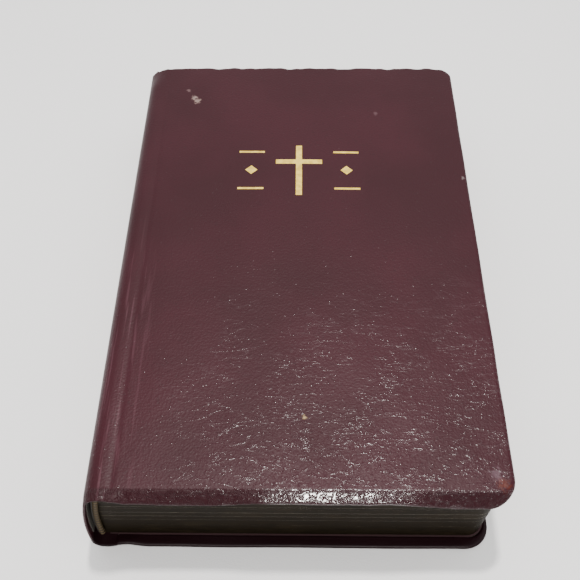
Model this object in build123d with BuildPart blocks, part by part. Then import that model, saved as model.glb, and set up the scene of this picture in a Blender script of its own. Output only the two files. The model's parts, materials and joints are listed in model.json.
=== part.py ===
from build123d import *
import os
from math import asin, cos, degrees, radians, sin, sqrt

# A limp-bound devotional book that lies on its back cover, with the spine on the -X side, the
# fore-edge on the +X side, the tail towards -Y and the head towards +Y. Millimetres, +Z up, with
# the origin under the middle of the book on the surface that it lies on.

os.makedirs("parts", exist_ok=True)

# Text block
page_width = 137.2  # fold to fore-edge
page_height = 215.0  # tail edge to head edge
page_corner = 6.0  # radius of the leaves' fore-edge corners
signatures_per_half = 12
signature_thickness = 1.5
fold_radius_share = 0.45  # rounding of a folded edge, as a share of the signature's thickness
flyleaf_thickness = 0.15
flyleaf_setback = 0.4  # from the bound edge
opening_gap = 0.1  # between the two halves of the block
back_rounding = 1.5  # how far the rounded backbone swells past its first and last leaves

# Covers
leather_thickness = 0.9
board_thickness = 0.6
pastedown_thickness = 0.2
cover_clearance = 0.3  # cover to block, which are different bodies
edge_margin = 0.5  # leaf edge to the crease where a cover starts to overhang
lip_reach = 4.3  # overhang beyond the crease at head and tail
fore_lip_reach = 1.5  # and at the fore-edge
lip_corner = 9.0  # radius of the overhang's corners
lip_drop = 2.5  # how far the front cover's overhang hangs down

# Joints between the covers and the block
hinge_inset = 5.2  # bound edge to the line where a cover turns
shoulder_radius = 5.5  # outer leather radius from a cover round to the spine
seam_gap = 0.05  # between leather pieces that turn about a shared line
lining_thickness = 0.4  # cloth-lined endpaper fold in the joint
lining_start = 0.6  # from the end of the leather's shoulder to the fold

# Spine, in layers from the folds outwards
backbone_clearance = 0.3
tape_thickness = 0.3
thread_thickness = 0.2
mull_thickness = 0.2
paper_lining_thickness = 0.2
hollow_gap = 0.8  # open hollow between the glued backbone and the leather back
liner_thickness = 0.4

# Sewing
tape_width = 12.0
tape_spacing = 70.0
tape_count = 3
stitch_overlap = 1.5  # how far a stitch reaches past its tape on each side
stitch_width = 0.5

# Head and tail bands
band_diameter = 2.0
band_end_clearance = 0.3  # leaf edge to bead
band_tape_length = 10.0  # glued skirt down the backbone

# How far short of the leaves' ends the backbone layers stop
mull_setback = 14.0
paper_lining_setback = 12.0
liner_overrun = 2.0  # the liner reaches past the leaves instead

# Gold-foil ornament on the front cover
foil_thickness = 0.1
foil_recess = 0.15
ornament_x = -0.5  # middle of the ornament, from the middle of the book towards the fore-edge
ornament_y = 39.5  # and towards the head
ornament_height = 30.0
cross_width = 20.0
cross_bar_rise = 5.0  # cross bar above the ornament's middle
foil_line = 2.6  # width of the cross's two bars
rule_length = 11.0
rule_width = 1.1
rule_spread = 20.5  # middle of the ornament to the middle of a rule
rule_rise = 11.0  # rules above and below the ornament's middle
lozenge_radius = 2.6

# Worked out from the sizes above
cover_thickness = leather_thickness + board_thickness + pastedown_thickness
half_block = signatures_per_half * signature_thickness + flyleaf_thickness + opening_gap / 2
book_thickness = 2 * (half_block + cover_clearance + cover_thickness)
mid_z = book_thickness / 2
spine_stack = (
    backbone_clearance
    + tape_thickness
    + thread_thickness
    + mull_thickness
    + paper_lining_thickness
    + hollow_gap
    + liner_thickness
    + leather_thickness
)
reach_to_spine = back_rounding + spine_stack
reach_to_lip = page_width + edge_margin + fore_lip_reach
bound_x = (reach_to_spine - reach_to_lip) / 2
hinge_x = bound_x + hinge_inset

back_radius = (half_block**2 + back_rounding**2) / (2 * back_rounding)
rounding_x = bound_x - back_rounding + back_radius
spine_radius = back_radius + spine_stack
pivot_z = shoulder_radius * (spine_radius - mid_z) / (spine_radius - shoulder_radius)
spine_angle = asin((mid_z - pivot_z) / spine_radius)
pivot_x = rounding_x - spine_radius * cos(spine_angle)
shoulder_x = pivot_x + shoulder_radius * cos(spine_angle)

rounding_axis = Axis((rounding_x, 0, mid_z), (0, 1, 0))
mirror_plane = Plane.XY.offset(mid_z)
spine_sweep = 2 * degrees(spine_angle - seam_gap / spine_radius)
sweep_start = spine_sweep / 2
leather_half_length = page_height / 2 + edge_margin + lip_reach


def finish(piece, label):
    piece.part.label = label
    export_step(piece.part, f"parts/{label}.step")


def rounded_outline(start_x, end_x, half_height, corner):
    """A sheet's outline from start_x to its fore-edge at end_x, where its corners are rounded."""
    with Locations((start_x, 0)):
        outline = Rectangle(end_x - start_x, 2 * half_height, align=(Align.MIN, Align.CENTER))
    fillet(outline.vertices().group_by(Axis.X)[-1], radius=corner)


def leaf_outline(start_x, grow):
    """A leaf's outline, grown outwards on its three free sides."""
    rounded_outline(start_x, bound_x + page_width + grow, page_height / 2 + grow, page_corner + grow)


def lip_outline(start_x):
    """The outline that a cover's overhang ends in."""
    rounded_outline(start_x, bound_x + reach_to_lip, leather_half_length, lip_corner)


def fold_x(z):
    """Where the rounded backbone lies at height z."""
    return rounding_x - sqrt(back_radius**2 - (z - mid_z) ** 2)


def signature(number):
    """One folded section of the block, numbered upwards from the back cover."""
    index = number - 1
    low_z = cover_thickness + cover_clearance + flyleaf_thickness + index * signature_thickness
    if number > signatures_per_half:
        low_z += opening_gap
    start_x = fold_x(low_z + signature_thickness / 2)
    shift = start_x - bound_x
    with BuildPart() as section:
        with BuildSketch(Plane((shift, 0, low_z))):
            leaf_outline(bound_x, 0)
        extrude(amount=signature_thickness)
        folded = section.edges().filter_by(Axis.Y).group_by(Axis.X)[0]
        fillet(folded, radius=fold_radius_share * signature_thickness)
    finish(section, f"signature_{number:02d}")


def sheet(label, low_z, thickness, start_x, grow):
    """A flat sheet with the leaves' outline."""
    with BuildPart() as flat:
        with BuildSketch(Plane.XY.offset(low_z)):
            leaf_outline(start_x, grow)
        extrude(amount=thickness)
    finish(flat, label)


def backbone_plane(degrees_down):
    """A plane through the rounding axis: local x points out to the spine, local y to the head."""
    angle = radians(degrees_down)
    return Plane(
        origin=(rounding_x, 0, mid_z),
        x_dir=(-cos(angle), 0, -sin(angle)),
        z_dir=(sin(angle), 0, -cos(angle)),
    )


def backbone_sheet(label, inner_radius, thickness, spans):
    """Curved sheets wrapped round the backbone, one for each (from_y, to_y) in spans."""
    with BuildPart() as curved:
        with BuildSketch(backbone_plane(sweep_start)):
            for from_y, to_y in spans:
                with Locations((inner_radius, from_y)):
                    Rectangle(thickness, to_y - from_y, align=(Align.MIN, Align.MIN))
        revolve(axis=rounding_axis, revolution_arc=spine_sweep)
    finish(curved, label)


def ornament():
    """A plain Latin cross between four short rules and two lozenges."""
    with Locations((ornament_x, ornament_y)):
        Rectangle(foil_line, ornament_height)
    with Locations((ornament_x, ornament_y + cross_bar_rise)):
        Rectangle(cross_width, foil_line)
    for side in (-1, 1):
        rule_x = ornament_x + side * rule_spread
        for rise in (-rule_rise, rule_rise):
            with Locations((rule_x, ornament_y + rise)):
                Rectangle(rule_length, rule_width)
        with Locations((rule_x, ornament_y)):
            RegularPolygon(lozenge_radius, 4)


# Text block: folded signatures, and the free half of each endpaper
for number in range(1, 2 * signatures_per_half + 1):
    signature(number)

inner_face = cover_thickness + cover_clearance
sheet("back_flyleaf", inner_face, flyleaf_thickness, bound_x + flyleaf_setback, 0)
sheet(
    "front_flyleaf",
    book_thickness - inner_face - flyleaf_thickness,
    flyleaf_thickness,
    bound_x + flyleaf_setback,
    0,
)

# Joints: the strip of leather between a cover and the spine, and its cloth-lined paper fold
strip_end = hinge_x - seam_gap
seam_degrees = degrees(spine_angle + seam_gap / shoulder_radius)
with BuildPart() as back_joint_leather:
    with BuildSketch(Plane.XZ.offset(-leather_half_length)):
        with BuildLine():
            outer = CenterArc(
                (shoulder_x, shoulder_radius), shoulder_radius, 180 + seam_degrees, 90 - seam_degrees
            )
            inner = CenterArc(
                (shoulder_x, shoulder_radius),
                shoulder_radius - leather_thickness,
                180 + seam_degrees,
                90 - seam_degrees,
            )
            Polyline(outer @ 1, (strip_end, 0), (strip_end, leather_thickness), inner @ 1)
            Line(outer @ 0, inner @ 0)
        make_face()
    extrude(amount=2 * leather_half_length)
finish(back_joint_leather, "back_joint_leather")

lining_x = shoulder_x + lining_start
lining_depth = inner_face - leather_thickness
with BuildPart() as back_joint_lining:
    with BuildSketch(Plane.XZ.offset(-page_height / 2)):
        with Locations((lining_x, leather_thickness)):
            Rectangle(strip_end - lining_x, lining_depth, align=(Align.MIN, Align.MIN))
        with Locations((strip_end, leather_thickness + lining_depth / 2)):
            Rectangle(
                strip_end - lining_x - lining_thickness,
                lining_depth - 2 * lining_thickness,
                align=(Align.MAX, Align.CENTER),
                mode=Mode.SUBTRACT,
            )
    extrude(amount=page_height)
finish(back_joint_lining, "back_joint_lining")

with BuildPart() as front_joint_leather:
    mirror(back_joint_leather.part, about=mirror_plane)
finish(front_joint_leather, "front_joint_leather")

with BuildPart() as front_joint_lining:
    mirror(back_joint_lining.part, about=mirror_plane)
finish(front_joint_lining, "front_joint_lining")

# Covers
cover_x = hinge_x + seam_gap
board_low = leather_thickness
pastedown_low = leather_thickness + board_thickness

with BuildPart() as back_cover_leather:
    with BuildSketch():
        lip_outline(cover_x)
    extrude(amount=cover_thickness)
    with BuildSketch(Plane.XY.offset(leather_thickness)):
        leaf_outline(cover_x, edge_margin)
    extrude(amount=board_thickness + pastedown_thickness, mode=Mode.SUBTRACT)
finish(back_cover_leather, "back_cover_leather")
sheet("back_cover_board", board_low, board_thickness, cover_x, edge_margin)
sheet("back_pastedown", pastedown_low, pastedown_thickness, cover_x, edge_margin)


def drooping_sections(top_z):
    """The crease outline, and the wider outline that a hanging overhang ends in."""
    with BuildSketch(Plane.XY.offset(top_z)) as crease:
        leaf_outline(cover_x, edge_margin)
    with BuildSketch(Plane.XY.offset(top_z - lip_drop)) as rim:
        lip_outline(cover_x)
    return [crease.sketch, rim.sketch]


with BuildPart() as front_cover_leather:
    loft(drooping_sections(book_thickness), ruled=True)
    with BuildSketch(Plane.XY.offset(book_thickness - lip_drop)):
        lip_outline(cover_x)
    extrude(amount=-cover_thickness)
    underside = drooping_sections(book_thickness - cover_thickness)
    loft(underside, ruled=True, mode=Mode.SUBTRACT)
    with BuildSketch(Plane.XY.offset(book_thickness - leather_thickness)):
        leaf_outline(cover_x, edge_margin)
    extrude(amount=-board_thickness - pastedown_thickness, mode=Mode.SUBTRACT)
    with BuildSketch(Plane.XY.offset(book_thickness)):
        ornament()
    extrude(amount=-foil_recess, mode=Mode.SUBTRACT)
finish(front_cover_leather, "front_cover_leather")
sheet(
    "front_cover_board",
    book_thickness - pastedown_low,
    board_thickness,
    cover_x,
    edge_margin,
)
sheet(
    "front_pastedown",
    book_thickness - cover_thickness,
    pastedown_thickness,
    cover_x,
    edge_margin,
)

with BuildPart() as cover_foil:
    with BuildSketch(Plane.XY.offset(book_thickness - foil_recess)):
        ornament()
    extrude(amount=foil_thickness)
finish(cover_foil, "cover_foil")

# Spine: the glued backbone layers, then the hollow, the liner and the leather back
tape_radius = back_radius + backbone_clearance
thread_radius = tape_radius + tape_thickness
mull_radius = thread_radius + thread_thickness
paper_lining_radius = mull_radius + mull_thickness
liner_radius = paper_lining_radius + paper_lining_thickness + hollow_gap
leather_radius = liner_radius + liner_thickness

tape_middles = [(n - (tape_count - 1) / 2) * tape_spacing for n in range(tape_count)]
tape_spans = [(y - tape_width / 2, y + tape_width / 2) for y in tape_middles]
backbone_sheet("sewing_tapes", tape_radius, tape_thickness, tape_spans)

stitch_length = tape_width + 2 * stitch_overlap
stitch_sweep = degrees(stitch_width / thread_radius)
stitch_angles = []
for number in range(2 * signatures_per_half):
    from_middle = (number - signatures_per_half + 0.5) * signature_thickness
    angle = degrees(asin(from_middle / back_radius))
    if abs(angle) + stitch_sweep < sweep_start:
        stitch_angles.append(angle)
with BuildPart() as sewing_thread:
    for angle in stitch_angles:
        with BuildSketch(backbone_plane(angle + stitch_sweep / 2)):
            for y in tape_middles:
                with Locations((thread_radius + thread_thickness / 2, y)):
                    Rectangle(thread_thickness, stitch_length)
        revolve(axis=rounding_axis, revolution_arc=stitch_sweep)
finish(sewing_thread, "sewing_thread")

mull_half = page_height / 2 - mull_setback
paper_lining_half = page_height / 2 - paper_lining_setback
liner_half = page_height / 2 + liner_overrun
backbone_sheet("mull", mull_radius, mull_thickness, [(-mull_half, mull_half)])
backbone_sheet(
    "backbone_lining",
    paper_lining_radius,
    paper_lining_thickness,
    [(-paper_lining_half, paper_lining_half)],
)
backbone_sheet("spine_liner", liner_radius, liner_thickness, [(-liner_half, liner_half)])
backbone_sheet(
    "spine_leather",
    leather_radius,
    leather_thickness,
    [(-leather_half_length, leather_half_length)],
)

# Head and tail bands: a wrapped bead across the ends of the folds, on a tape glued to the back
bead_radius = tape_radius - band_diameter / 2
bead_middle = page_height / 2 + band_end_clearance + band_diameter / 2
band_tape_start = page_height / 2 - band_tape_length
band_tape_thickness = tape_thickness + thread_thickness
for end, name in ((1, "head"), (-1, "tail")):
    with BuildPart() as bead:
        with BuildSketch(backbone_plane(sweep_start)):
            with Locations((bead_radius, end * bead_middle)):
                Circle(band_diameter / 2)
        revolve(axis=rounding_axis, revolution_arc=spine_sweep)
    finish(bead, f"{name}_band")
    span = sorted((end * band_tape_start, end * bead_middle))
    backbone_sheet(f"{name}_band_tape", tape_radius, band_tape_thickness, [span])

print(f"book {reach_to_spine + reach_to_lip:.2f} x {2 * leather_half_length:.2f} x {book_thickness:.2f}")
print(f"spine pivots at x {pivot_x:.4f}, z {pivot_z:.4f} and {book_thickness - pivot_z:.4f}")
print(f"cover pivots at x {hinge_x:.4f}")
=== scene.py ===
import json
import math

import bpy
import numpy as np
from mathutils import Matrix, Vector


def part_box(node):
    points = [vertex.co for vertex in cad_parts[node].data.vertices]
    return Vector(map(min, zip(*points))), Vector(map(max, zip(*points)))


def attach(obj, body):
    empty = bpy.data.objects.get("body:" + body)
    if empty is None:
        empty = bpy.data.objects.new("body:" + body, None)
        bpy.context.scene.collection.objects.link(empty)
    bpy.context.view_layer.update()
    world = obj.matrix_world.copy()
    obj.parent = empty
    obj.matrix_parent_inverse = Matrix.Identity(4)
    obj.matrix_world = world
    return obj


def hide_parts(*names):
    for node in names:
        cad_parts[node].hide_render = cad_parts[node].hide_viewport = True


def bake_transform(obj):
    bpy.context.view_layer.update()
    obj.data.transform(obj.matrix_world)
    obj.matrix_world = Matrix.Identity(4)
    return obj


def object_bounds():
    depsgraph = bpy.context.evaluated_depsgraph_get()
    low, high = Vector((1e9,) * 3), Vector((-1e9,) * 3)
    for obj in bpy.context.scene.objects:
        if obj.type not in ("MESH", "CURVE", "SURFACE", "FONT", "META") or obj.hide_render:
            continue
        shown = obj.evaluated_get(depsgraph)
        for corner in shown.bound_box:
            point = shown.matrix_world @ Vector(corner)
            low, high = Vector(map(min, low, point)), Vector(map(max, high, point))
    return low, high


# The looks of a limp leather-bound book that lies on its back cover. Metres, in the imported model's
# frame: the spine is at -X, the tail at -Y, and the front cover faces +Z.

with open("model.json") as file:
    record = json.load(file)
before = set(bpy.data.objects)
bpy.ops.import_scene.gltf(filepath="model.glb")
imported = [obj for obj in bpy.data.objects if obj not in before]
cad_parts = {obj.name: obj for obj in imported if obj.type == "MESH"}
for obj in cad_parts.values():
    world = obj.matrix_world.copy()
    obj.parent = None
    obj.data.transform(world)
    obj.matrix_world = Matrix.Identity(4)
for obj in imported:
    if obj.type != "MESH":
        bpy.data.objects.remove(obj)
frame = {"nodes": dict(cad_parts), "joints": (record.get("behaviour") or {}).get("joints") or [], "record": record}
cad_low, cad_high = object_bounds()
random = np.random.default_rng(20)

MM = 0.001
TINY = 1e-9
joints = {j["name"]: j for j in frame["joints"]}

# Places worked out from the frame
THICKNESS = cad_high.z
MID_Z = THICKNESS / 2
HALF_LENGTH = cad_high.y
FORE_X = cad_high.x
fold_pivot = joints["front_half_fold"]["pos_m"]
HINGE_X = joints["front_cover_turn"]["pos_m"][0]
COVER_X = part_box("front_cover_leather")[0].x
COVER_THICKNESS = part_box("back_cover_leather")[1].z
PAGE_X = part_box("signature_01")[1].x
PAGE_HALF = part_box("signature_01")[1].y
swell = fold_pivot[0] - cad_low.x
rise = fold_pivot[2] - MID_Z
SPINE_RADIUS = (swell**2 + rise**2) / (2 * swell)
SPINE_AXIS_X = cad_low.x + SPINE_RADIUS
SPINE_ANGLE = math.asin(rise / SPINE_RADIUS)
SHOULDER_RADIUS = (THICKNESS - fold_pivot[2]) / (1 - math.sin(SPINE_ANGLE))
SHOULDER_X = fold_pivot[0] + SHOULDER_RADIUS * math.cos(SPINE_ANGLE)
SHOULDER_ARC = SHOULDER_RADIUS * (math.pi / 2 - SPINE_ANGLE)

# Soft shape of the leather
LEAN = 0.085  # the closed book leans towards its fore-edge, by this share of the height
LEATHER = 0.9 * MM
LIP_CORNER = 9 * MM
EDGE_MARGIN = 0.5 * MM
END_REACH = HALF_LENGTH - PAGE_HALF - EDGE_MARGIN
FORE_REACH = FORE_X - PAGE_X - EDGE_MARGIN
TAIL_CREASE_Y = -PAGE_HALF - EDGE_MARGIN
CREASE_LEAD = 0.4 * MM  # the bend starts this far inside the crease
CREASE_WIDTH = 1.3 * MM
RIM_LINES = [x * MM for x in (0, 0.08, 0.25, 0.5, 0.85, 1.3, 1.8, 2.4, 3, 3.6, 4.1, 4.6, 5.2, 6.2, 7.5)]
HINGE_HALF = 4 * MM  # leather that bends, on each side of a cover's hinge line
JOINT_GROOVE = 0.22 * MM  # the leather dips a little along the hinge line
HEAD_WEAR = 1.2 * MM  # how far the joint's corner at the head is rubbed round
FINE_STEP = 0.5 * MM
COARSE_STEP = 1.5 * MM
LINER_SHARE = 0.84  # the hollow's liner stops short of the shoulders, to clear them as the spine folds
SPINE_BEND = 6 * MM  # leather that bends, along the spine from a shoulder
WRAP = 10 * MM  # from the shoulder, the cover's edge takes this far to turn in fully
HEAD_TURN_IN = 28  # degrees, over the spine
TAIL_TURN_IN = 4
HEAD_LIP = 38  # degrees that the front cover's turned-in edge hangs down
FORE_LIP = 48
HEAD_PULL = 0.68  # share by which the worn head edge is drawn back near the spine
HEAD_NICK_X = -38.6 * MM

# Leaves
LEAF_BEND_OUTER = 13 * MM  # how far from its fold the outermost leaf curves when the book opens
LEAF_BEND_MIDDLE = 42 * MM  # and the leaves at the opening
PAGE_CORNER = 6 * MM
LAYERS = 5  # steps in a signature's trimmed edge
LAYER_SCATTER = 0.012 * MM
LEAF_BEND_STEP = 1.5 * MM
LEAF_STEP_X = 15 * MM
LEAF_STEP_Y = 22 * MM


def smooth(t):
    """0 to 1 with a soft start and end."""
    t = np.clip(t, 0, 1)
    return t * t * (3 - 2 * t)


def waves(u, shortest, longest, count):
    """A smooth random function of u, within about -1 to 1."""
    total = np.zeros_like(u)
    for _ in range(count):
        length = random.uniform(shortest, longest)
        total = total + np.sin(2 * math.pi * (u / length + random.random()))
    return total / math.sqrt(count)


def lean(points):
    """Shears points the way the closed book leans."""
    moved = np.array(points, float)
    moved[..., 0] += LEAN * (moved[..., 2] - MID_Z)
    return moved


# ---------------------------------------------------------------- materials


def add(tree, kind, settings=(), **inputs):
    """A shader node with its settings and inputs; an input is a value or another node's output."""
    node = tree.nodes.new(kind)
    for name, value in dict(settings).items():
        setattr(node, name, value)
    for name, value in inputs.items():
        socket = node.inputs[int(name[1:])] if name[1:].isdigit() else node.inputs[name.replace("_", " ")]
        if isinstance(value, bpy.types.NodeSocket):
            tree.links.new(value, socket)
        else:
            socket.default_value = value
    return node


def maths(tree, operation, a, b=0.0, c=0.0):
    """A Math node. MULTIPLY_ADD gives a * b + c."""
    return add(tree, "ShaderNodeMath", {"operation": operation}, i0=a, i1=b, i2=c).outputs[0]


def times(tree, a, b):
    return maths(tree, "MULTIPLY", a, b)


def away(tree, value, middle):
    """How far value is from middle, on either side."""
    return maths(tree, "ABSOLUTE", maths(tree, "SUBTRACT", value, middle))


def voronoi(tree, place, scale, feature="F1"):
    return add(tree, "ShaderNodeTexVoronoi", {"feature": feature}, Vector=place, Scale=scale).outputs


def split_xyz(tree, place):
    return add(tree, "ShaderNodeSeparateXYZ", Vector=place).outputs


def ramp(tree, value, low, high, to_low=0.0, to_high=1.0):
    """value from low to high as a smooth step from to_low to to_high."""
    node = add(tree, "ShaderNodeMapRange", {"interpolation_type": "SMOOTHSTEP"}, Value=value)
    for name, number in (("From Min", low), ("From Max", high), ("To Min", to_low), ("To Max", to_high)):
        node.inputs[name].default_value = number
    return node.outputs["Result"]


def mix(tree, share, a, b):
    """Colour a, with this share of colour b."""
    node = add(tree, "ShaderNodeMix", {"data_type": "RGBA"}, i0=share)
    for index, value in ((6, a), (7, b)):
        if isinstance(value, bpy.types.NodeSocket):
            tree.links.new(value, node.inputs[index])
        else:
            node.inputs[index].default_value = (*value, 1)
    return node.outputs[2]


def noise(tree, place, scale, detail=2.0, roughness=0.5, distortion=0.0):
    shape = {"Scale": scale, "Detail": detail, "Roughness": roughness, "Distortion": distortion}
    return add(tree, "ShaderNodeTexNoise", Vector=place, **shape).outputs["Fac"]


def stretched(tree, place, turn, scale):
    """place turned about Z and scaled, for a texture with a direction."""
    node = add(tree, "ShaderNodeMapping", Vector=place, Rotation=(0, 0, turn), Scale=scale)
    return node.outputs["Vector"]


def material(name, paint):
    """A node material; paint(tree, place, shader) fills in its shader."""
    made = bpy.data.materials.new(name)
    made.use_nodes = True
    tree = made.node_tree
    tree.nodes.clear()
    shader = add(tree, "ShaderNodeBsdfPrincipled")
    out = add(tree, "ShaderNodeOutputMaterial")
    tree.links.new(shader.outputs[0], out.inputs["Surface"])
    place = add(tree, "ShaderNodeAttribute", {"attribute_name": "rest"}).outputs["Vector"]
    paint(tree, place, shader)
    return made


def bump(tree, shader, height, depth):
    """Relief that is depth deep where height runs from 0 to 1; returns its normal."""
    normal = add(tree, "ShaderNodeBump", Height=height, Distance=depth, Strength=1.0).outputs["Normal"]
    tree.links.new(normal, shader.inputs["Normal"])
    return normal


# Marks of use on the front cover: x, y, radius, how strong, colour
MARKS = (
    (-46.1 * MM, 84.4 * MM, 2.6 * MM, 0.80, (0.24, 0.17, 0.15)),
    (-47.4 * MM, 86.6 * MM, 1.9 * MM, 0.70, (0.26, 0.19, 0.17)),
    (-50.3 * MM, 91.5 * MM, 1.6 * MM, 0.40, (0.20, 0.13, 0.13)),
    (3.4 * MM, -81.1 * MM, 1.3 * MM, 0.80, (0.42, 0.30, 0.14)),
    (67.0 * MM, -102.0 * MM, 3.4 * MM, 0.40, (0.14, 0.09, 0.11)),
    (71.2 * MM, 35.2 * MM, 1.3 * MM, 0.50, (0.20, 0.17, 0.17)),
    (69.0 * MM, -105.8 * MM, 3.2 * MM, 0.40, (0.13, 0.030, 0.012)),
    (36.0 * MM, 76.0 * MM, 1.4 * MM, 0.30, (0.16, 0.10, 0.11)),
)
LEATHER_DARK = (0.0245, 0.0033, 0.0063)
LEATHER_LIGHT = (0.0325, 0.0049, 0.0092)
# painted shade for the tail's lip, which turns down away from the light
LIP_PAINTED_SHADE = (0.0130, 0.0015, 0.0030)
# painted shade for the leather low down, near the table
FOOT_PAINTED_SHADE = (0.006, 0.002, 0.003)


def crease_lines(tree, place, turn):
    """Thin lines in one direction, 1 on a line and 0 away from it."""
    field = noise(tree, stretched(tree, place, turn, (0.30, 1.0, 1.0)), 260, 3, 0.5, 0.4)
    return ramp(tree, away(tree, field, 0.5), 0.0, 0.045, 1.0, 0.0)


def crinkled_share(tree, place, x, y, on_front):
    """How crinkled the front cover is: from its middle down to the tail, and hardly near the spine."""
    patches = ramp(tree, noise(tree, place, 55, 2), 0.30, 0.60, 0.25, 1.0)
    share = times(tree, times(tree, ramp(tree, y, 12 * MM, -95 * MM), on_front), patches)
    near_tail = ramp(tree, y, -60 * MM, -94 * MM, 0.0, 0.9)
    share = maths(tree, "MAXIMUM", share, times(tree, near_tail, on_front))
    return times(tree, share, ramp(tree, x, -56 * MM, -10 * MM, 0.12, 1.0))


def crinkle_lines(tree, place, rightwards):
    """Broken crinkles, level on the fore-edge half and slanted on the spine half."""
    level, slanted = crease_lines(tree, place, 0.12), crease_lines(tree, place, -0.95)
    leftwards = maths(tree, "SUBTRACT", 1.0, rightwards)
    lines = maths(tree, "ADD", times(tree, level, rightwards), times(tree, slanted, leftwards))
    return times(tree, lines, ramp(tree, noise(tree, place, 600, 1), 0.36, 0.52))


def crinkle_specks(tree, place, y, lines, crinkled):
    """Small bumps, most of them in a row along a crinkle."""
    cells = voronoi(tree, stretched(tree, place, 0.1, (0.75, 1.0, 1.0)), 1150)
    chance = add(tree, "ShaderNodeSeparateColor", Color=cells["Color"]).outputs[0]
    scattered = ramp(tree, y, -45 * MM, -98 * MM, 0.08, 0.24)
    likely = times(tree, crinkled, maths(tree, "MULTIPLY_ADD", lines, 0.80, scattered))
    chosen = ramp(tree, maths(tree, "SUBTRACT", maths(tree, "ADD", chance, likely), 1.0), -0.06, 0.06)
    return times(tree, ramp(tree, cells["Distance"], 0.05, 0.5, 1.0, 0.0), chosen)


def leather_colour(tree, place, tone, on_front, on_lip):
    """Burgundy with pores, pale streaks of painted sheen in the joint, the rubbed marks, a tail lip darkened as
    painted shade, and a darker foot that is painted shade.
    """
    x, y, z = split_xyz(tree, place)
    colour = mix(tree, ramp(tree, tone, 0.3, 0.7), LEATHER_DARK, LEATHER_LIGHT)
    pores = ramp(tree, noise(tree, place, 1100, 1), 0.60, 0.72, 0.0, 0.45)
    colour = mix(tree, pores, colour, (0.020, 0.004, 0.006))
    # painted sheen: pale streaks along the joint's fine wrinkles
    sheen_streak = ramp(tree, noise(tree, stretched(tree, place, 0.0, (1.0, 0.05, 1.0)), 900, 1), 0.52, 0.7)
    near_spine = times(tree, ramp(tree, x, -48 * MM, -64 * MM), ramp(tree, y, 30 * MM, -60 * MM))
    sheen_streak = times(tree, times(tree, sheen_streak, near_spine), on_front)
    colour = mix(tree, times(tree, sheen_streak, 0.3), colour, (0.12, 0.05, 0.065))
    for mark_x, mark_y, radius, strength, rubbed in MARKS:
        off_x = maths(tree, "SUBTRACT", x, mark_x)
        off_y = maths(tree, "SUBTRACT", y, mark_y)
        squares = maths(tree, "MULTIPLY_ADD", off_x, off_x, times(tree, off_y, off_y))
        distance = maths(tree, "SQRT", squares)
        ragged = maths(tree, "MULTIPLY_ADD", noise(tree, place, 900, 3), 2.2 * radius, distance)
        share = ramp(tree, ragged, 1.15 * radius, 2.0 * radius, strength, 0.0)
        colour = mix(tree, times(tree, share, on_front), colour, rubbed)
    # painted shade: the tail's lip is darkened where it turns away from the light
    colour = mix(tree, times(tree, on_lip, 0.5), colour, LIP_PAINTED_SHADE)
    # painted shade: the leather low down, near the table, is darkened
    painted_foot_shade = ramp(tree, z, 12 * MM, 3 * MM, 0.0, 0.85)
    return mix(tree, painted_foot_shade, colour, FOOT_PAINTED_SHADE)


def paint_leather(tree, place, shader):
    """Bonded leather: fine pebble grain, crinkled towards the tail, polished on the tail's lip."""
    x, y, z = split_xyz(tree, place)
    on_front = ramp(tree, z, 30 * MM, 36 * MM)
    rightwards = ramp(tree, x, -20 * MM, 10 * MM)
    crinkled = crinkled_share(tree, place, x, y, on_front)
    on_lip = times(tree, ramp(tree, y, TAIL_CREASE_Y + 0.6 * MM, TAIL_CREASE_Y - 0.6 * MM), on_front)
    polish = times(tree, ramp(tree, x, -12 * MM, -5 * MM), ramp(tree, x, 46 * MM, 32 * MM))
    polish = times(tree, on_lip, polish)

    pebbles = ramp(tree, voronoi(tree, place, 1250, "SMOOTH_F1")["Distance"], 0.1, 0.75, 1.0, 0.0)
    fine = noise(tree, place, 4200, 2)
    lines = crinkle_lines(tree, place, rightwards)
    specks = crinkle_specks(tree, place, y, lines, crinkled)
    specks = times(tree, specks, maths(tree, "MULTIPLY_ADD", polish, -0.8, 1.0))
    crinkled_lines = times(tree, lines, crinkled)
    folds = noise(tree, stretched(tree, place, 0.75, (1.0, 0.6, 1.0)), 560, 3, 0.55, 0.7)
    furrow = ramp(tree, away(tree, folds, 0.5), 0.0, 0.09)
    furrow_depth = maths(tree, "MULTIPLY_ADD", on_lip, 0.34, times(tree, crinkled, 0.10))

    grain = maths(tree, "MULTIPLY_ADD", pebbles, 0.12, times(tree, fine, 0.06))
    height = times(tree, grain, maths(tree, "MULTIPLY_ADD", polish, -0.7, 1.0))
    height = maths(tree, "MULTIPLY_ADD", specks, 0.36, height)
    height = maths(tree, "MULTIPLY_ADD", crinkled_lines, 0.22, height)
    height = maths(tree, "MULTIPLY_ADD", furrow, furrow_depth, height)
    normal = bump(tree, shader, height, 0.28 * MM)

    tone = noise(tree, place, 22, 3)
    tree.links.new(leather_colour(tree, place, tone, on_front, on_lip), shader.inputs["Base Color"])
    rough = ramp(tree, tone, 0.2, 0.8, 0.47, 0.41)
    rough = maths(tree, "MULTIPLY_ADD", specks, -0.28, rough)
    rough = maths(tree, "MULTIPLY_ADD", polish, -0.18, rough)
    tree.links.new(rough, shader.inputs["Roughness"])
    shader.inputs["Specular IOR Level"].default_value = 0.16

    crease = ramp(tree, away(tree, y, TAIL_CREASE_Y), 0.1 * MM, 0.5 * MM, 0.6, 0.0)
    crease = times(tree, times(tree, crease, rightwards), on_front)
    coat = maths(tree, "MAXIMUM", times(tree, specks, 0.6), polish)
    coat = maths(tree, "MAXIMUM", coat, times(tree, crinkled_lines, 0.5))
    coat = maths(tree, "MAXIMUM", coat, crease)
    tree.links.new(coat, shader.inputs["Coat Weight"])
    shader.inputs["Coat Roughness"].default_value = 0.16
    tree.links.new(normal, shader.inputs["Coat Normal"])


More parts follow.
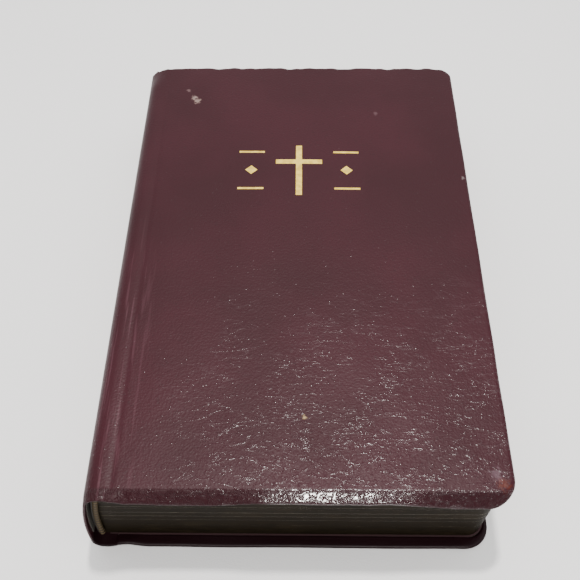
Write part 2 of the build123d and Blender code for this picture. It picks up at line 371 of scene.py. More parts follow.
def paint_foil(tree, place, shader):
    """Hot-stamped gold foil that lies in the grain."""
    tone = noise(tree, place, 500, 3)
    colour = mix(tree, ramp(tree, tone, 0.3, 0.7), (0.62, 0.42, 0.055), (0.80, 0.58, 0.11))
    tree.links.new(colour, shader.inputs["Base Color"])
    tree.links.new(ramp(tree, tone, 0.2, 0.8, 0.34, 0.50), shader.inputs["Roughness"])
    shader.inputs["Metallic"].default_value = 0.30
    bump(tree, shader, noise(tree, place, 1600, 2), 0.04 * MM)


def paint_gilt(tree, place, shader):
    """Trimmed leaf edges, dark gilt made darker still as painted shade, worn in patches, with the leaves showing
    as fine lines.
    """
    lines = noise(tree, stretched(tree, place, 0.0, (0.02, 0.02, 1.0)), 9000, 2, 0.7)
    broad = noise(tree, stretched(tree, place, 0.0, (0.10, 0.10, 1.0)), 900, 2)
    worn = ramp(tree, noise(tree, stretched(tree, place, 0.0, (1.0, 1.0, 3.0)), 60, 3), 0.52, 0.78)
    # near-black gilt: partly its own dark tone, partly painted shade
    colour = mix(tree, ramp(tree, lines, 0.35, 0.65), (0.0036, 0.0025, 0.0014), (0.0150, 0.0105, 0.0055))
    colour = mix(tree, ramp(tree, broad, 0.5, 0.75, 0.0, 0.6), colour, (0.0060, 0.0042, 0.0024))
    colour = mix(tree, times(tree, worn, 0.25), colour, (0.030, 0.021, 0.011))
    tree.links.new(colour, shader.inputs["Base Color"])
    tree.links.new(ramp(tree, lines, 0.2, 0.8, 0.48, 0.62), shader.inputs["Roughness"])
    shader.inputs["Specular IOR Level"].default_value = 0.06
    bump(tree, shader, lines, 0.03 * MM)


def paint_page(tree, place, shader):
    """Thin cream paper."""
    tone = noise(tree, place, 35, 3)
    colour = mix(tree, tone, (0.70, 0.63, 0.50), (0.80, 0.75, 0.63))
    fibre = noise(tree, stretched(tree, place, 0.4, (1.0, 0.3, 1.0)), 1800, 2)
    colour = mix(tree, ramp(tree, fibre, 0.6, 0.75, 0.0, 0.15), colour, (0.55, 0.47, 0.34))
    tree.links.new(colour, shader.inputs["Base Color"])
    shader.inputs["Roughness"].default_value = 0.75
    shader.inputs["Specular IOR Level"].default_value = 0.3
    bump(tree, shader, noise(tree, place, 260, 3), 0.05 * MM)


def paint_endpaper(tree, place, shader):
    """Plain burgundy endpaper, made dark as painted shade for its edge in the shadow under the leaves; matte with
    a fine felt mark.
    """
    tone = noise(tree, place, 90, 3)
    # dark burgundy, its darkness painted shade
    colour = mix(tree, tone, (0.0170, 0.0032, 0.0048), (0.0270, 0.0056, 0.0080))
    tree.links.new(colour, shader.inputs["Base Color"])
    shader.inputs["Roughness"].default_value = 0.8
    bump(tree, shader, noise(tree, place, 1500, 3), 0.05 * MM)


def paint_board(tree, place, shader):
    """Grey flexible card with flecks, made darker as painted shade for the spine's hollow."""
    fleck = noise(tree, place, 1400, 2)
    # dark grey: partly the card's own colour, partly painted shade
    colour = mix(tree, noise(tree, place, 120, 3), (0.030, 0.026, 0.021), (0.055, 0.048, 0.040))
    colour = mix(tree, ramp(tree, fleck, 0.62, 0.72, 0.0, 0.6), colour, (0.018, 0.015, 0.012))
    tree.links.new(colour, shader.inputs["Base Color"])
    shader.inputs["Roughness"].default_value = 0.9
    bump(tree, shader, fleck, 0.05 * MM)


def paint_kraft(tree, place, shader):
    """Brown kraft paper with fibres along the spine."""
    fibre = noise(tree, stretched(tree, place, 0.0, (1.0, 0.15, 1.0)), 1500, 3)
    colour = mix(tree, fibre, (0.27, 0.17, 0.09), (0.42, 0.29, 0.17))
    tree.links.new(colour, shader.inputs["Base Color"])
    shader.inputs["Roughness"].default_value = 0.85
    bump(tree, shader, fibre, 0.04 * MM)


def weave_height(tree, place, pitch):
    """Over-and-under threads, along Y and across it."""
    x, y, z = split_xyz(tree, place)
    turns = 2 * math.pi / pitch
    across = maths(tree, "SINE", times(tree, y, turns))
    along = maths(tree, "SINE", times(tree, maths(tree, "ADD", x, z), turns))
    return times(tree, across, along)


def cloth_painter(low, high, glue):
    """Open cotton weave in two tones, stiffened with glue of a third."""

    def paint(tree, place, shader):
        weave = weave_height(tree, place, 1.1 * MM)
        colour = mix(tree, ramp(tree, weave, -0.8, 0.8), low, high)
        colour = mix(tree, ramp(tree, noise(tree, place, 140, 2), 0.4, 0.8, 0.0, 0.35), colour, glue)
        tree.links.new(colour, shader.inputs["Base Color"])
        shader.inputs["Roughness"].default_value = 0.85
        bump(tree, shader, weave, 0.08 * MM)

    return paint


def paint_thread(tree, place, shader):
    """Waxed linen, twisted."""
    _, y, z = split_xyz(tree, place)
    twist = maths(tree, "SINE", maths(tree, "ADD", times(tree, y, 9000.0), times(tree, z, 7000.0)))
    colour = mix(tree, ramp(tree, twist, -1.0, 1.0), (0.50, 0.46, 0.38), (0.82, 0.79, 0.70))
    tree.links.new(colour, shader.inputs["Base Color"])
    shader.inputs["Roughness"].default_value = 0.6
    bump(tree, shader, twist, 0.03 * MM)


def silk_painter(dark, light):
    """Silk wrapped round a band, in one of its two colours."""

    def paint(tree, place, shader):
        strands = noise(tree, stretched(tree, place, 0.0, (1.0, 1.0, 3.0)), 2600, 2)
        tree.links.new(mix(tree, strands, dark, light), shader.inputs["Base Color"])
        shader.inputs["Roughness"].default_value = 0.6
        shader.inputs["Specular IOR Level"].default_value = 0.12
        bump(tree, shader, strands, 0.04 * MM)

    return paint


def paint_floor(tree, place, shader):
    """Pale and plain, with a faint cloth texture."""
    tone = noise(tree, place, 6, 2)
    colour = mix(tree, tone, (0.80, 0.80, 0.81), (0.85, 0.85, 0.855))
    tree.links.new(colour, shader.inputs["Base Color"])
    shader.inputs["Roughness"].default_value = 0.9
    bump(tree, shader, noise(tree, place, 1400, 2), 0.08 * MM)


leather = material("bonded_leather", paint_leather)
foil = material("gold_foil", paint_foil)
gilt = material("gilt_edge", paint_gilt)
page = material("leaf_paper", paint_page)
endpaper = material("endpaper", paint_endpaper)
card = material("flexible_board", paint_board)
kraft = material("kraft_paper", paint_kraft)
pale_weave = cloth_painter((0.42, 0.36, 0.27), (0.76, 0.71, 0.60), (0.50, 0.38, 0.22))
cloth = material("binding_cloth", pale_weave)
# near-black band tapes: partly dark cloth, partly painted shade for the hollow at the spine's ends
dark_weave = cloth_painter((0.008, 0.006, 0.004), (0.022, 0.017, 0.012), (0.015, 0.010, 0.006))
band_cloth = material("band_cloth", dark_weave)
thread = material("linen_thread", paint_thread)
gold_silk = material("gold_silk", silk_painter((0.060, 0.042, 0.020), (0.110, 0.080, 0.040)))
dark_silk = material("dark_silk", silk_painter((0.006, 0.004, 0.003), (0.016, 0.010, 0.008)))


# ---------------------------------------------------------------- mesh tools


def keep_places(mesh, points):
    """Keeps each point's place as "rest", for the textures."""
    rest = mesh.attributes.new("rest", "FLOAT_VECTOR", "POINT")
    rest.data.foreach_set("vector", points.astype(np.float32).ravel())


def make_mesh(name, points, faces, materials, indices=None, sharp=None, smooth_faces=True):
    """A mesh object in the leaning book."""
    points = lean(points)
    mesh = bpy.data.meshes.new(name)
    mesh.from_pydata(points.tolist(), [], [list(map(int, f)) for f in faces])
    for one in materials:
        mesh.materials.append(one)
    if indices is not None:
        mesh.polygons.foreach_set("material_index", np.array(indices, np.int32))
    mesh.polygons.foreach_set("use_smooth", np.full(len(mesh.polygons), smooth_faces))
    if sharp is not None:
        ends = np.zeros(len(mesh.edges) * 2, np.int32)
        mesh.edges.foreach_get("vertices", ends)
        ends = ends.reshape(-1, 2)
        marked = np.isin(ends[:, 0], sharp) & np.isin(ends[:, 1], sharp)
        mesh.edges.foreach_set("use_edge_sharp", marked)
    keep_places(mesh, points)
    mesh.validate()
    mesh.update()
    made = bpy.data.objects.new(name, mesh)
    bpy.context.scene.collection.objects.link(made)
    return made


def grid_quads(columns, rows, first=0, flip=False):
    """Quads over a grid of points stored column by column."""
    i, j = np.meshgrid(np.arange(columns - 1), np.arange(rows - 1), indexing="ij")
    a = (first + i * rows + j).ravel()
    quads = np.stack([a, a + rows, a + rows + 1, a + 1], 1)
    return quads[:, ::-1] if flip else quads


def grid_border(columns, rows):
    """Indices round a grid's border, once."""
    low = [i * rows for i in range(columns)]
    right = [(columns - 1) * rows + j for j in range(1, rows)]
    high = [i * rows + rows - 1 for i in range(columns - 2, -1, -1)]
    left = [j for j in range(rows - 2, 0, -1)]
    return np.array(low + right + high + left)


def round_corners(x, y, edge_x, half, corner):
    """Bends a rectangular grid's fore-edge corners into arcs.

    Returns the new x and y, the distance in from the edge, and the angle that the nearest edge
    faces: 0 for the fore-edge and a right angle for the head or tail.
    """
    a = (x - (edge_x - corner)) / corner
    b = (np.abs(y) - (half - corner)) / corner
    inside = (a > 0) & (b > 0)
    top = np.maximum(a, b)
    safe = np.where(inside, top, 1)
    ratio = np.minimum(a, b) / safe
    angle = np.where(a >= b, math.pi / 4 * ratio, math.pi / 2 - math.pi / 4 * ratio)
    angle = np.where(inside, angle, np.where(a >= b, 0, math.pi / 2))
    new_x = np.where(inside, edge_x - corner + corner * safe * np.cos(angle), x)
    new_y = np.where(inside, half - corner + corner * safe * np.sin(angle), np.abs(y)) * np.sign(y)
    return new_x, new_y, corner * (1 - top), angle


def spaced(start, end, step):
    """Evenly spaced values from start to end, about a step apart."""
    return np.linspace(start, end, max(2, round(abs(end - start) / step) + 1))


def grid_normals(points):
    """Unit normals of a grid of points, on the side that column x row turns to."""
    along = np.gradient(points, axis=0)
    up = np.gradient(points, axis=1)
    normals = np.cross(along, up)
    return normals / np.linalg.norm(normals, axis=2, keepdims=True)


def shell(name, surface, inset, depth):
    """A closed leather sheet: surface is its outer side, inset the distance in from a rounded rim
    and depth its thickness, all over one grid. Its first column is a cut end that meets a neighbour."""
    columns, rows = inset.shape
    normals = grid_normals(surface)
    round_share = np.sqrt(np.clip(1 - (1 - np.clip(inset / (depth / 2), 0, 1)) ** 2, 0, 1))
    outer = surface - normals * (depth / 2 * (1 - round_share))[..., None]
    inner = surface - normals * (depth / 2 * (1 + round_share))[..., None]
    count = columns * rows
    points = np.concatenate([outer.reshape(-1, 3), inner.reshape(-1, 3)])
    border = grid_border(columns, rows)
    joined = np.arange(2 * count)
    rim = inset.ravel() <= TINY
    joined[count:][rim] = np.arange(count)[rim]
    faces = [grid_quads(columns, rows), grid_quads(columns, rows, count, True)]
    after = np.roll(border, -1)
    faces.append(np.stack([after, border, border + count, after + count], 1))
    quads = joined[np.concatenate(faces)]
    clean = []
    for quad in quads:
        corners = list(dict.fromkeys(quad.tolist()))
        if len(corners) > 2:
            clean.append(corners)
    used = np.unique(np.concatenate([np.array(c) for c in clean]))
    renumber = np.full(2 * count, -1)
    renumber[used] = np.arange(len(used))
    clean = [[renumber[c] for c in corners] for corners in clean]
    cut = border[~rim[border]]
    sharp = renumber[np.concatenate([cut, cut + count])]
    return make_mesh(name, points[used], clean, [leather], sharp=sharp)


def welded(points, faces, indices):
    """Joins points that coincide, and drops the faces that this leaves without an area."""
    keys = {}
    index = np.array([keys.setdefault(tuple(np.round(p, 7)), len(keys)) for p in points])
    kept, looks = [], []
    for face, look in zip(faces, indices):
        corners = list(dict.fromkeys(index[list(face)].tolist()))
        if len(corners) > 2:
            kept.append(corners)
            looks.append(look)
    return np.array(list(keys)), kept, looks


def narrowed(points, share):
    """Shortens what lies round the spine's arc to this share of its angle."""
    x, z = SPINE_AXIS_X - points[:, 0], points[:, 2] - MID_Z
    distance, angle = np.hypot(x, z), np.arctan2(z, x) * share
    moved = points.copy()
    moved[:, 0] = SPINE_AXIS_X - distance * np.cos(angle)
    moved[:, 2] = MID_Z + distance * np.sin(angle)
    return moved


def copy_leaning(node, look, slot, body):
    """Stands a leaning copy in for a CAD node whose shape is right."""
    source = frame["nodes"][node].data
    points = np.array([v.co for v in source.vertices])
    if node == "spine_liner":
        points = narrowed(points, LINER_SHARE)
    faces = [list(p.vertices) for p in source.polygons]
    points, faces, indices = welded(points, faces, [0] * len(faces))
    made = make_mesh(node + "_piece", points, faces, [look], indices, smooth_faces=False)
    finish_piece(made, slot, node)
    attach(made, body)
    return made


def finish_piece(piece, slot, *nodes):
    """Hides the CAD nodes that a piece stands for; the piece and its slot are not used."""
    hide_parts(*nodes)


# ---------------------------------------------------------------- leather skins

# Places along a cover or the spine, closest together at the tail and the head
end_rows = [HALF_LENGTH - line for line in RIM_LINES]
middle_rows = spaced(-(HALF_LENGTH - LIP_CORNER), HALF_LENGTH - LIP_CORNER, COARSE_STEP)
ROWS = np.array([-r for r in end_rows] + list(middle_rows) + end_rows[::-1])
head_ragged = waves(np.linspace(0, 1, 400), 0.03, 0.2, 9)


def bent(beyond, slope):
    """How far a sheet has bent away, at a distance beyond the start of its crease."""
    beyond = np.clip(beyond, 0, None)
    in_crease = np.minimum(beyond, CREASE_WIDTH)
    return slope * (in_crease**2 / (2 * CREASE_WIDTH) + (beyond - in_crease))


def spine_end_slopes(y):
    """The leather over the spine turns in at the head and stands open at the tail."""
    return np.where(y > 0, math.tan(math.radians(HEAD_TURN_IN)), math.tan(math.radians(TAIL_TURN_IN)))


# Distances from the spine, round the shoulder and across the joint, to a cover's fore-edge
joint_end = SHOULDER_ARC + HINGE_X - SHOULDER_X + 2 * HINGE_HALF
fore_end = SHOULDER_ARC + FORE_X - SHOULDER_X
COLUMNS = np.concatenate([
    spaced(0, SHOULDER_ARC, FINE_STEP)[:-1],
    spaced(SHOULDER_ARC, joint_end, FINE_STEP)[:-1],
    spaced(joint_end, fore_end - LIP_CORNER, COARSE_STEP),
    fore_end - np.array(RIM_LINES[::-1]),
])


def skin_base():
    """The flat pattern of a cover with its joint, and the profile that it is wrapped over."""
    s, y = np.meshgrid(COLUMNS, ROWS, indexing="ij")
    flat_x = SHOULDER_X + s - SHOULDER_ARC
    new_x, new_y, inset, facing = round_corners(flat_x, y, FORE_X, HALF_LENGTH, LIP_CORNER)
    s = s + new_x - flat_x
    angle = math.pi - SPINE_ANGLE - np.minimum(s, SHOULDER_ARC) / SHOULDER_RADIUS
    x = SHOULDER_X + SHOULDER_RADIUS * np.cos(angle) + np.maximum(s - SHOULDER_ARC, 0)
    z = THICKNESS - SHOULDER_RADIUS * (1 - np.sin(angle))
    out = np.stack([np.cos(angle), np.zeros_like(angle), np.sin(angle)], 2)
    reach = FORE_REACH * np.cos(facing) ** 2 + END_REACH * np.sin(facing) ** 2
    return s, x, new_y, z, out, inset, facing, reach


def skin_depth(x, inset, reach):
    """Leather, and the turned-in double edge beyond the crease."""
    step = 0.3 * MM
    turned = smooth((reach + step / 2 - inset) / step) * smooth((x - COVER_X) / step)
    return LEATHER + (COVER_THICKNESS - LEATHER) * turned


def cover_swell(x, y):
    """How the front cover's leather has risen off its board, by a third of a millimetre."""
    first = np.sin(2 * math.pi * (x / (71 * MM) + y / (190 * MM) + 0.15))
    second = np.sin(2 * math.pi * (x / (43 * MM) - y / (88 * MM) + 0.6))
    third = np.sin(2 * math.pi * (x / (26 * MM) + y / (31 * MM) + 0.3)) * smooth(-y / (60 * MM))
    inside = smooth((FORE_X - x) / (12 * MM)) * smooth((x - HINGE_X) / (12 * MM))
    inside = inside * smooth((HALF_LENGTH - np.abs(y)) / (14 * MM))
    groove = JOINT_GROOVE * np.exp(-(((x - HINGE_X) / (1.1 * MM)) ** 2))
    return 0.09 * MM * (1.7 + first + 0.6 * second + 0.4 * third) * inside - groove


def tail_lip(x):
    """Degrees that the front cover's tail edge hangs down: least in the middle, most at the fore-edge."""
    angle = 45 - 14 * smooth((x + 24 * MM) / (10 * MM)) + 20 * smooth((x - 28 * MM) / (20 * MM))
    return angle + 3 * np.sin(x / (7.5 * MM))


def head_wear(x, y):
    """How the front cover's head edge is worn in and out along its length, with one nick."""
    near_head = smooth((y - 98 * MM) / (12 * MM)) * smooth((x + 58 * MM) / (10 * MM))
    ragged = np.interp(x, np.linspace(-75 * MM, 75 * MM, len(head_ragged)), head_ragged)
    nick = np.exp(-(((x - HEAD_NICK_X) / (2.2 * MM)) ** 2))
    return (0.35 * MM * ragged - 1.1 * MM * nick) * near_head


def front_skin():
    """The front cover's leather: its edges hang over the leaves, and it is worn at the head."""
    s, x, y, z, out, inset, facing, reach = skin_base()
    wrapped = smooth((s - SHOULDER_ARC) / WRAP)
    tail = y < 0
    on_end = np.sin(facing) ** 2
    near_spine = smooth((-46 * MM - x) / (22 * MM))
    lip_angle = np.where(tail, tail_lip(x), HEAD_LIP + 13 * near_spine)
    joint_angle = np.degrees(np.arctan(spine_end_slopes(y)))
    past_joint = np.where(tail, wrapped, smooth(s / SHOULDER_ARC))
    end_angle = joint_angle + (lip_angle - joint_angle) * past_joint
    slope = np.tan(np.radians(end_angle * on_end + FORE_LIP * (1 - on_end)))
    beyond = reach + CREASE_LEAD - inset
    drop = bent(beyond, slope)
    lip = smooth(beyond / reach)
    crinkles = 0.10 * waves(x, 2.4 * MM, 6 * MM, 7) + 0.16 * waves(x + 0.4 * np.abs(y), 7 * MM, 19 * MM, 5)
    drop = drop + crinkles * MM * lip * np.where(tail, 1.0, 0.7) * wrapped
    points = np.stack([x, y, z], 2) - out * drop[..., None]
    points[..., 2] += cover_swell(x, y)
    rounded = np.sin(math.pi * np.clip(s / (1.25 * SHOULDER_ARC), 0, 1))
    rounded = rounded * smooth((y - 94 * MM) / (14 * MM))
    points -= out * (HEAD_WEAR * rounded)[..., None]
    past_head = np.clip(points[..., 1] - PAGE_HALF, 0, None)
    points[..., 1] -= HEAD_PULL * near_spine * past_head
    points[..., 1] += head_wear(x, y)
    piece = shell("front_cover_skin", points, inset, skin_depth(x, inset, reach))
    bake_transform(piece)
    finish_piece(piece, "cover_leather", "front_cover_leather", "front_joint_leather")


def back_skin():
    """The back cover's leather: it lies on the table, and its edge ripples up a little."""
    s, x, y, z, out, inset, _, reach = skin_base()
    z = THICKNESS - z
    out[..., 2] *= -1
    wrapped = smooth((s - SHOULDER_ARC) / WRAP)
    beyond = reach + CREASE_LEAD - inset
    lip = smooth(beyond / reach)
    ripple = 0.5 + 0.5 * np.clip(waves(x, 18 * MM, 60 * MM, 5) * 0.6, -1, 1)
    lift = 0.5 * MM * ripple * lip * wrapped
    near_spine = smooth((-50 * MM - x) / (14 * MM)) * lip * wrapped
    lift = lift + 1.4 * MM * near_spine
    turn_in = bent(beyond, spine_end_slopes(y)) * (1 - wrapped)
    points = np.stack([x, y, z], 2) - out * (lift + turn_in)[..., None]
    points[..., 1] -= np.sign(y) * 0.9 * MM * near_spine
    depth = skin_depth(x, inset, reach)
    piece = shell("back_cover_skin", points[:, ::-1], inset[:, ::-1], depth[:, ::-1])
    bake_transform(piece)
    finish_piece(piece, "cover_leather", "back_cover_leather", "back_joint_leather")


def spine_skin(side, body, name, *nodes):
    """Half of the leather over the spine, from a shoulder to the middle; side is 1 for the front."""
    bend_angle = SPINE_BEND / SPINE_RADIUS
    angles = np.concatenate([
        np.linspace(SPINE_ANGLE, SPINE_ANGLE - bend_angle, 13)[:-1],
        np.linspace(SPINE_ANGLE - bend_angle, 0, 10),
    ])
    angle, y = np.meshgrid(angles, ROWS, indexing="ij")
    out = np.stack([-np.cos(angle), np.zeros_like(angle), np.sin(angle)], 2)
    inset = HALF_LENGTH - np.abs(y)
    turn_in = bent(END_REACH + CREASE_LEAD - inset, spine_end_slopes(y))
    points = np.array([SPINE_AXIS_X, 0, MID_Z]) + out * (SPINE_RADIUS - turn_in)[..., None]
    points[..., 1] = y
    points[..., 2] = MID_Z + side * (points[..., 2] - MID_Z)
    if side > 0:
        points = points[::-1]
        inset = inset[::-1]
    piece = shell(name, points, inset, np.full_like(inset, LEATHER))
    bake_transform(piece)
    if nodes:
        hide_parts(*nodes)


front_skin()
back_skin()
spine_skin(1, "front_block", "spine_skin_upper", "spine_leather")
spine_skin(-1, "back_block", "spine_skin_lower")


# ---------------------------------------------------------------- gold foil

FOIL_RISE = 0.05 * MM
FOIL_CELL = 1.3 * MM


def foil_lines(low, high, *stops):
    """Grid lines from low to high that pass through each stop."""
    marks = sorted({low, high, *stops})
    lines = []
    for a, b in zip(marks, marks[1:]):
        lines.append(np.linspace(a, b, max(2, math.ceil((b - a) / FOIL_CELL) + 1)))
    return np.unique(np.round(np.concatenate(lines), 9))


def foil_plate(xs, ys, keep, centre, turn=0.0):
    """A thin plate that lies on the cover, over the grid cells whose middles keep() accepts."""
    points, faces, index = [], [], {}

    def corner(i, j, level):
        key = (i, j, level)
        if key not in index:
            x = centre[0] + xs[i] * math.cos(turn) - ys[j] * math.sin(turn)
            y = centre[1] + xs[i] * math.sin(turn) + ys[j] * math.cos(turn)
            height = THICKNESS + cover_swell(np.array(x), np.array(y)) + FOIL_RISE * level
            index[key] = len(points)
            points.append((x, y, float(height)))
        return index[key]

    kept = {
        (i, j)
        for i in range(len(xs) - 1)
        for j in range(len(ys) - 1)
        if keep((xs[i] + xs[i + 1]) / 2, (ys[j] + ys[j + 1]) / 2)
    }
    for i, j in sorted(kept):
        ring = [(i, j), (i + 1, j), (i + 1, j + 1), (i, j + 1)]
        faces.append([corner(*c, 1) for c in ring])
        faces.append([corner(*c, -1) for c in reversed(ring)])
        beside = [(i, j - 1), (i + 1, j), (i, j + 1), (i - 1, j)]
        for side, other in enumerate(beside):
            if other not in kept:
                a, b = ring[side], ring[(side + 1) % 4]
                faces.append([corner(*b, 1), corner(*a, 1), corner(*a, -1), corner(*b, -1)])
    return points, faces


def make_foil():
    """A plain Latin cross between four short rules and two lozenges."""
    low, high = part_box("cover_foil")
    middle = ((low.x + high.x) / 2, (low.y + high.y) / 2)
    half_height = (high.y - low.y) / 2
    bar_half, line_half, bar_rise = 10 * MM, 1.3 * MM, 5 * MM
    rule_half, rule_line, spread, rule_rise = 5.5 * MM, 0.55 * MM, 20.5 * MM, 11 * MM
    lozenge_half = 2.6 * MM / math.sqrt(2)

    def in_cross(x, y):
        return abs(x) < line_half or (abs(x) < bar_half and abs(y - bar_rise) < line_half)

    def everywhere(x, y):
        return True

    plates = [
        foil_plate(
            foil_lines(-bar_half, bar_half, -line_half, line_half),
            foil_lines(-half_height, half_height, bar_rise - line_half, bar_rise + line_half),
            in_cross,
            middle,
        )
    ]
    for side in (-1, 1):
        for up in (-1, 1):
            place = (middle[0] + side * spread, middle[1] + up * rule_rise)
            lines = foil_lines(-rule_half, rule_half), foil_lines(-rule_line, rule_line)
            plates.append(foil_plate(*lines, everywhere, place))
        place = (middle[0] + side * spread, middle[1])
        lines = foil_lines(-lozenge_half, lozenge_half)
        plates.append(foil_plate(lines, lines, everywhere, place, math.pi / 4))
    points, faces = [], []
    for plate_points, plate_faces in plates:
        faces += [[v + len(points) for v in f] for f in plate_faces]
        points += plate_points
    piece = make_mesh("foil_ornament", points, faces, [foil], smooth_faces=False)
    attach(piece, "front_cover")
    finish_piece(piece, "gold_foil", "cover_foil")


make_foil()


# ---------------------------------------------------------------- leaves

bodies = frame["record"]["behaviour"]["bodies"]
LAST_OF_BACK_HALF = max(node for node in bodies["back_block"] if node.startswith("signature"))
FIRST_OF_FRONT_HALF = min(node for node in bodies["front_block"] if node.startswith("signature"))
corner_lines = np.array([0, 0.5, 1.2, 2.2, 3.4, 4.7]) * MM


def leaf_bend(z):
    """How far from its fold a leaf at height z curves."""
    to_middle = 1 - abs(z - MID_Z) / (MID_Z - COVER_THICKNESS)
    return LEAF_BEND_OUTER + (LEAF_BEND_MIDDLE - LEAF_BEND_OUTER) * max(0.0, to_middle)


def leaf_stack(node, layers, edge_look, fold_round):
    """A stack of leaves with stepped trimmed edges, and closer columns near its fold."""
    low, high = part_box(node)
    bend_end = low.x + leaf_bend((low.z + high.z) / 2)
    if node == FIRST_OF_FRONT_HALF:  # it lies on the back half, with no gap to see
        low.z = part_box(LAST_OF_BACK_HALF)[1].z
    bend = spaced(low.x, bend_end, LEAF_BEND_STEP)
    flat = spaced(bend_end, PAGE_X - PAGE_CORNER, LEAF_STEP_X)
    xs = np.concatenate([bend[:-1], flat, PAGE_X - corner_lines[::-1]])
    middle = spaced(-(PAGE_HALF - PAGE_CORNER), PAGE_HALF - PAGE_CORNER, LEAF_STEP_Y)
    ys = np.concatenate([corner_lines - PAGE_HALF, middle, (PAGE_HALF - corner_lines)[::-1]])
    x, y = np.meshgrid(xs, ys, indexing="ij")
    x, y, _, facing = round_corners(x, y, PAGE_X, PAGE_HALF, PAGE_CORNER)
    columns, rows = x.shape
    border = grid_border(columns, rows)
    flat_x, flat_y = x.ravel(), y.ravel()
    at_fold = flat_x[border] <= low.x + TINY
    out_x = np.where(at_fold, -1.0, np.cos(facing.ravel()[border]))
    out_y = np.where(at_fold, 0.0, np.sin(facing.ravel()[border]) * np.sign(flat_y[border]))
    thickness = (high.z - low.z) / layers
    rings = []
    for layer in range(layers):
        scatter = random.uniform(-LAYER_SCATTER, 0)
        for level in (layer, layer + 1):
            share = level / layers * 2 - 1
            fold_in = fold_round * (1 - math.sqrt(max(0.0, 1 - share**2)))
            offset = np.where(at_fold, -fold_in, scatter)
            rings.append(np.stack([
                flat_x[border] + out_x * offset,
                flat_y[border] + out_y * offset,
                np.full(len(border), low.z + thickness * level),
            ], 1))
    caps = []
    for ring, z in ((rings[0], low.z), (rings[-1], high.z)):
        cap = np.stack([flat_x, flat_y, np.full(len(flat_x), z)], 1)
        cap[border] = ring
        caps.append(cap)
    count = len(flat_x)
    points = np.concatenate([caps[0], caps[1], *rings[1:-1]])
    faces = [grid_quads(columns, rows, 0, True), grid_quads(columns, rows, count)]
    indices = [0] * (2 * len(faces[0]))
    levels = [border]
    levels += [2 * count + n * len(border) + np.arange(len(border)) for n in range(len(rings) - 2)]
    levels.append(border + count)
    wall_look = np.where(at_fold & np.roll(at_fold, -1), 0, 1)
    for lower, upper in zip(levels, levels[1:]):
        faces.append(np.stack([lower, np.roll(lower, -1), np.roll(upper, -1), upper], 1))
        indices += wall_look.tolist()
    points, faces, indices = welded(points, np.concatenate(faces), indices)
    looks = [page, edge_look]
    piece = make_mesh(node + "_leaves", points, faces, looks, indices, smooth_faces=False)
    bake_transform(piece)
    finish_piece(piece, "leaves", node)
    return piece


for body in ("back_block", "front_block"):
    for node in bodies[body]:
        if node.startswith("signature"):
            leaf_stack(node, LAYERS, gilt, 0.6 * MM)
for node, body in (("back_flyleaf", "back_block"), ("front_flyleaf", "front_block")):
    flyleaf = leaf_stack(node, 1, gilt, 0)
    flyleaf.data.materials[0] = endpaper


# ---------------------------------------------------------------- bands

BAND_STRIPE = 2.0 * MM  # one gold and one dark stripe
BAND_RIDGES = 2  # strands in a stripe
BAND_SPAN = 0.985  # share of the spine's arc that a band covers
BAND_END = 0.55  # share of its thickness that is left at each end


def make_band(node, end):
    """A bead of silk wrapped round a cord, in slanting stripes."""
    low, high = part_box(node)
    radius = (high.y - low.y) / 2
    path_radius = SPINE_AXIS_X - low.x - radius
    half_angle = SPINE_ANGLE * BAND_SPAN
    steps, around = 144, 14
    arc = np.linspace(-half_angle, half_angle, steps)
    turn = np.arange(around) * 2 * math.pi / around
    a, t = np.meshgrid(arc, turn, indexing="ij")
    phase = a * path_radius / BAND_STRIPE + end * t / (2 * math.pi)
    ridge = 0.5 + 0.5 * np.cos(2 * math.pi * phase * 2 * BAND_RIDGES)
    tube = radius * (0.90 + 0.10 * ridge)
    tube[0] *= BAND_END
    tube[-1] *= BAND_END
    distance = path_radius + tube * np.cos(t)
    points = np.stack([
        SPINE_AXIS_X - distance * np.cos(a),
        (low.y + high.y) / 2 + tube * np.sin(t),
        MID_Z + distance * np.sin(a),
    ], 2).reshape(-1, 3)
    faces, indices = [], []
    for i in range(steps - 1):
        for j in range(around):
            k = (j + 1) % around
            faces.append([i * around + k, i * around + j, (i + 1) * around + j, (i + 1) * around + k])
            indices.append(int(math.floor(phase[i, j] * 2 + 100)) % 2)
    faces.append(list(range(around)))
    faces.append(list(range((steps - 1) * around, steps * around))[::-1])
    indices += [0, 0]
    piece = make_mesh(node + "_bead", points, faces, [gold_silk, dark_silk], indices)
    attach(piece, "spine")
    finish_piece(piece, "band_silk", node)


make_band("head_band", 1)
make_band("tail_band", -1)


# ---------------------------------------------------------------- boards, linings and sewing

COPIES = (
    ("front_cover_board", card, "flexible_board", "front_cover"),
    ("back_cover_board", card, "flexible_board", "back_cover"),
    ("front_pastedown", endpaper, "endpaper", "front_cover"),
    ("back_pastedown", endpaper, "endpaper", "back_cover"),
    ("front_joint_lining", endpaper, "binding_cloth", "front_block"),
    ("back_joint_lining", endpaper, "binding_cloth", "back_block"),
    ("spine_liner", card, "flexible_board", "spine"),
    ("backbone_lining", kraft, "kraft_paper", "spine"),
    ("mull", cloth, "binding_cloth", "spine"),
    ("sewing_tapes", cloth, "binding_cloth", "spine"),
    ("sewing_thread", thread, "thread", "spine"),
    ("head_band_tape", band_cloth, "binding_cloth", "spine"),
    ("tail_band_tape", band_cloth, "binding_cloth", "spine"),
)
for copied in COPIES:
    copy_leaning(*copied)


# ---------------------------------------------------------------- floor, camera and light


CAMERA_PLACE = (0.84 * MM, -229.4 * MM, 304.3 * MM)
CAMERA_PITCH, CAMERA_YAW, CAMERA_ROLL = (math.radians(a) for a in (52.331, -0.793, -0.299))
CAMERA_LENS = 53.83
ROOM_DARK = (0.06, 0.06, 0.065)
ROOM_LIGHT = (1.0, 1.0, 1.0)


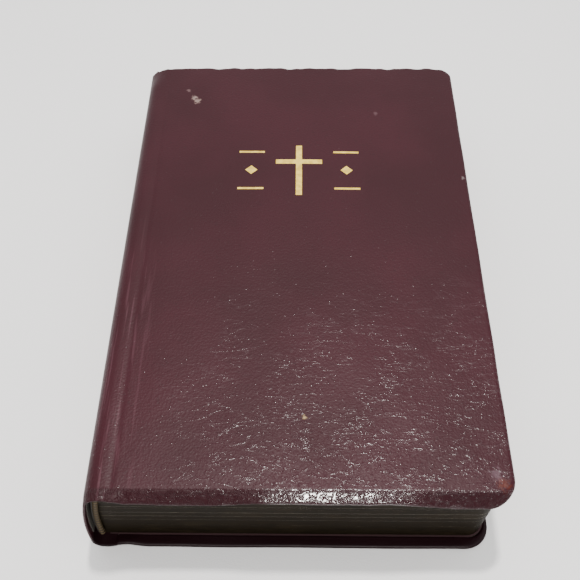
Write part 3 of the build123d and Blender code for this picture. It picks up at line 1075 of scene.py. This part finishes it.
def make_floor():
    """A plain table that curves up behind as a backdrop does."""
    xs = np.linspace(-2.5, 2.5, 21)
    ys = np.linspace(-2.0, 3.0, 41)
    curve_start, curve_length, curve_height = 0.9, 1.6, 0.45
    x, y = np.meshgrid(xs, ys, indexing="ij")
    z = curve_height * smooth((y - curve_start) / curve_length)
    points = np.stack([x, y, z], 2).reshape(-1, 3)
    mesh = bpy.data.meshes.new("floor")
    mesh.from_pydata(points.tolist(), [], grid_quads(len(xs), len(ys)).tolist())
    mesh.polygons.foreach_set("use_smooth", np.full(len(mesh.polygons), True))
    keep_places(mesh, points)
    mesh.materials.append(material("pale_table", paint_floor))
    floor = bpy.data.objects.new("floor", mesh)
    bpy.context.scene.collection.objects.link(floor)


def make_camera():
    """A hand-held view from the tail, well above the book."""
    flat = math.cos(CAMERA_PITCH)
    look = Vector((math.sin(CAMERA_YAW) * flat, math.cos(CAMERA_YAW) * flat, -math.sin(CAMERA_PITCH)))
    level = Vector((math.cos(CAMERA_YAW), -math.sin(CAMERA_YAW), 0))
    up = level.cross(look)
    right = level * math.cos(CAMERA_ROLL) + up * math.sin(CAMERA_ROLL)
    up = up * math.cos(CAMERA_ROLL) - level * math.sin(CAMERA_ROLL)
    data = bpy.data.cameras.new("camera")
    data.lens = CAMERA_LENS
    data.sensor_width = 36
    data.clip_start = 0.01
    data.clip_end = 20
    camera = bpy.data.objects.new("camera", data)
    columns = Matrix((right, up, -look)).transposed()
    camera.matrix_world = Matrix.Translation(CAMERA_PLACE) @ columns.to_4x4()
    bpy.context.scene.collection.objects.link(camera)
    bpy.context.scene.camera = camera


def area_light(name, place, aim, width, length, power, colour):
    """A rectangular lamp at place that shines on aim."""
    data = bpy.data.lights.new(name, "AREA")
    data.shape = "RECTANGLE"
    data.size = width
    data.size_y = length
    data.energy = power
    data.color = colour
    light = bpy.data.objects.new(name, data)
    light.location = place
    light.rotation_mode = "QUATERNION"
    light.rotation_quaternion = (Vector(aim) - Vector(place)).to_track_quat("-Z", "Y")
    bpy.context.scene.collection.objects.link(light)


def make_world():
    """A pale room that is brightest overhead and behind the book."""
    world = bpy.data.worlds.new("studio")
    world.use_nodes = True
    tree = world.node_tree
    place = add(tree, "ShaderNodeTexCoord").outputs["Generated"]
    brightest = (0.0, 0.6, 0.8)
    towards = add(tree, "ShaderNodeVectorMath", {"operation": "DOT_PRODUCT"}, i0=place, i1=brightest)
    share = ramp(tree, towards.outputs["Value"], -0.1, 0.9)
    background = tree.nodes["Background"]
    tree.links.new(mix(tree, share, ROOM_DARK, ROOM_LIGHT), background.inputs["Color"])
    background.inputs["Strength"].default_value = 1.35
    bpy.context.scene.world = world


def make_light():
    """A small lamp overhead and one behind the viewer."""
    area_light("overhead", (0.05, 0.24, 1.5), (0, 0, MID_Z), 0.10, 0.10, 24, (1.0, 0.96, 0.92))
    area_light("behind_viewer", (0.09, -0.95, 0.95), (0, -0.1, 0.03), 0.12, 0.16, 15, (1.0, 0.97, 0.93))


make_floor()
make_camera()
make_world()
make_light()
